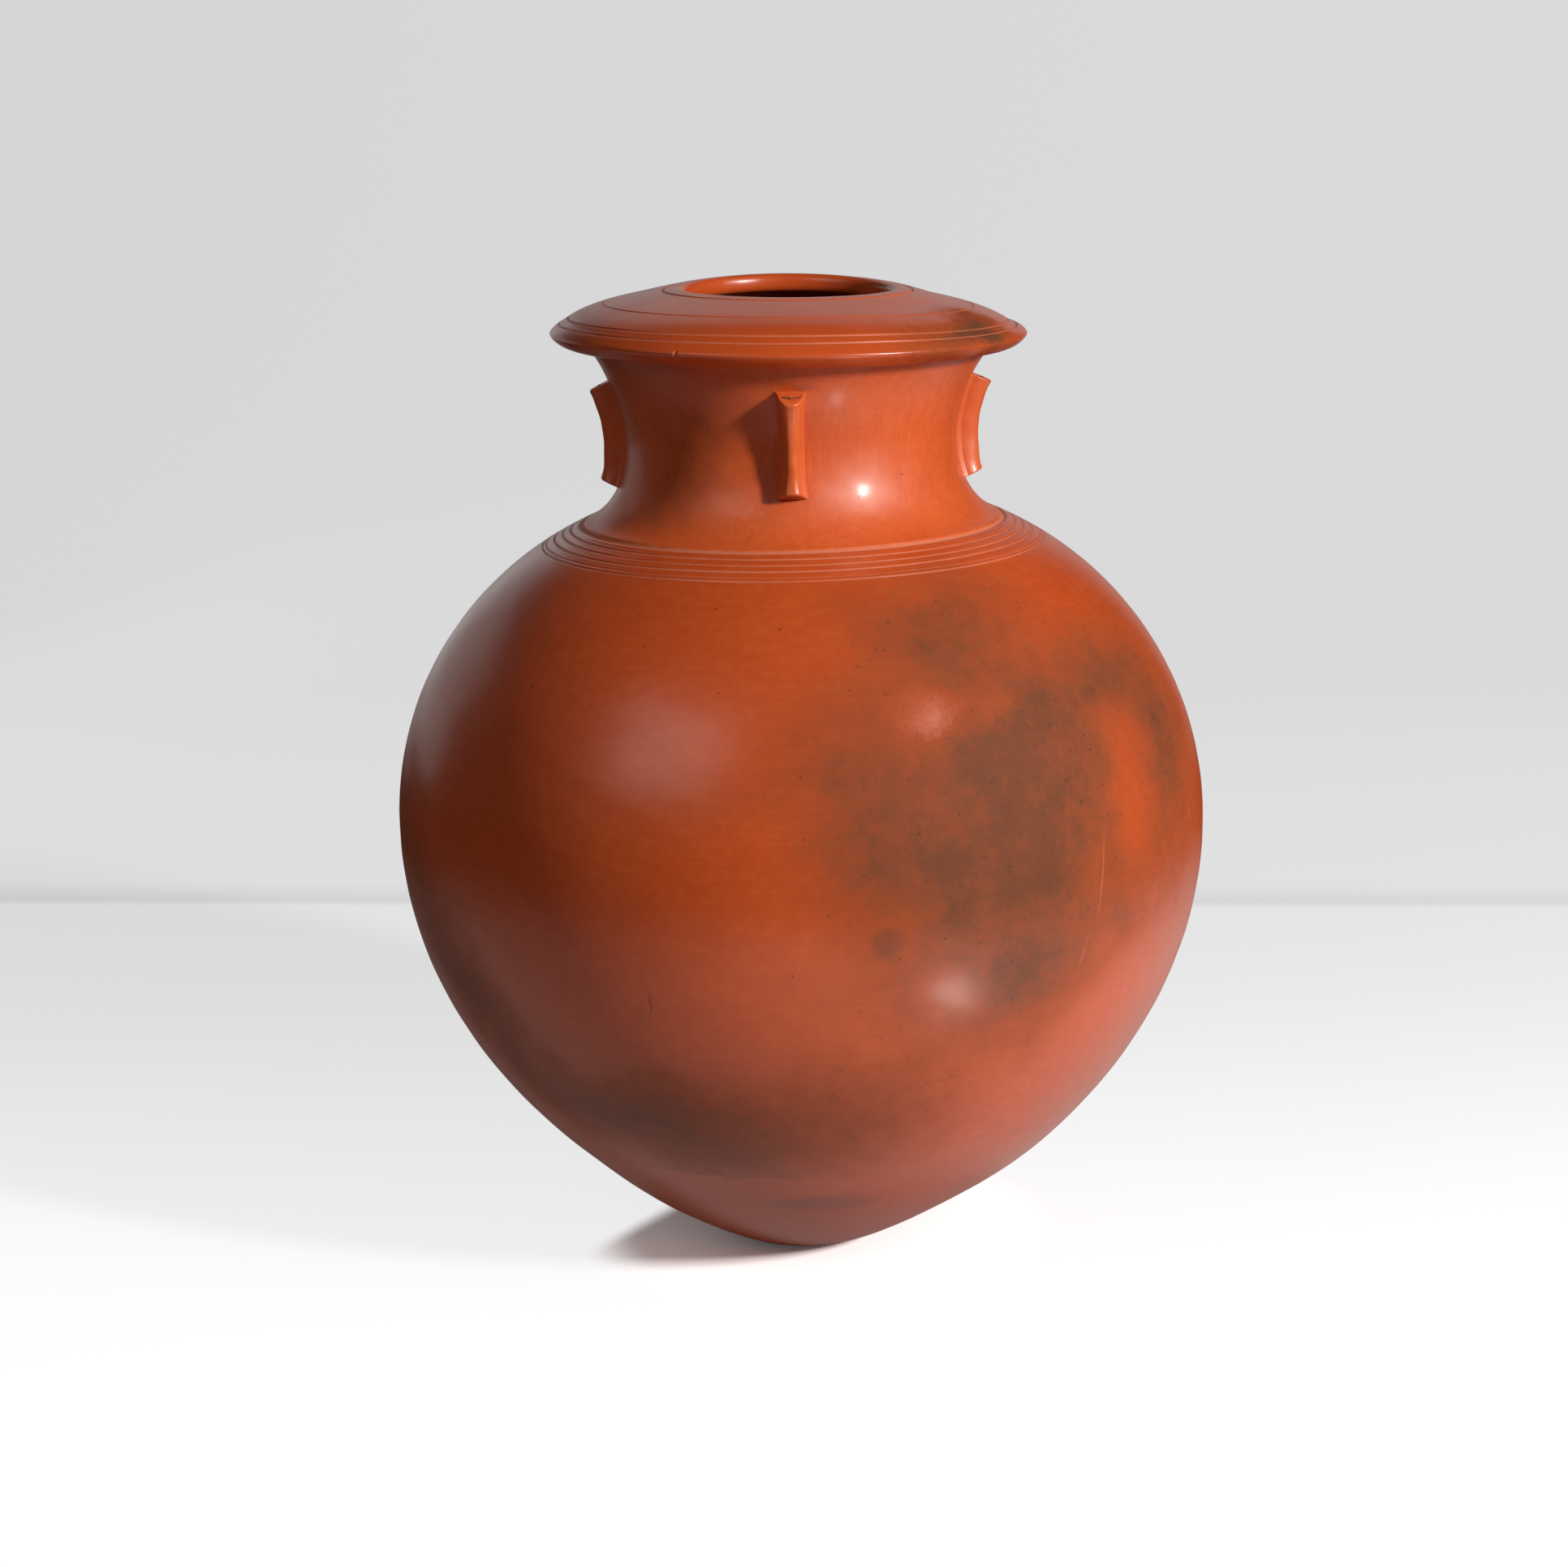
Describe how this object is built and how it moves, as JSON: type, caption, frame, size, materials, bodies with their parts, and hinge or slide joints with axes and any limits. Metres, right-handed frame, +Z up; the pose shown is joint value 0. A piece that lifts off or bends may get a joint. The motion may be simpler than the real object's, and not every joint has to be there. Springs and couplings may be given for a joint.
{
  "type": "collared vessel",
  "caption": "Hollow egg-bodied burnished clay vessel on a small flat foot, with a waisted neck, tubular cord lugs and a domed collar round its open mouth.",
  "frame": {"origin": "centre of the flat foot, on the surface that the vessel stands on", "axes": "+Z up along the vessel's axis through the mouth; -Y towards the front lug, +X towards the right lug"},
  "size_m": [0.38, 0.38, 0.4571],
  "materials": {
    "body_clay": "stone-burnished slip with smoky fire clouds",
    "neck_clay": "stone-burnished slip",
    "collar_clay": "stone-burnished slip, smoky on one side",
    "lug_clay": "stone-burnished slip"
  },
  "bodies": {
    "root": {"base_bowl": "body_clay", "belly_wall": "body_clay", "shoulder": "body_clay", "neck": "neck_clay", "collar": "collar_clay", "lug_front": "lug_clay", "lug_right": "lug_clay", "lug_back": "lug_clay", "lug_left": "lug_clay"}
  },
  "joints": []
}
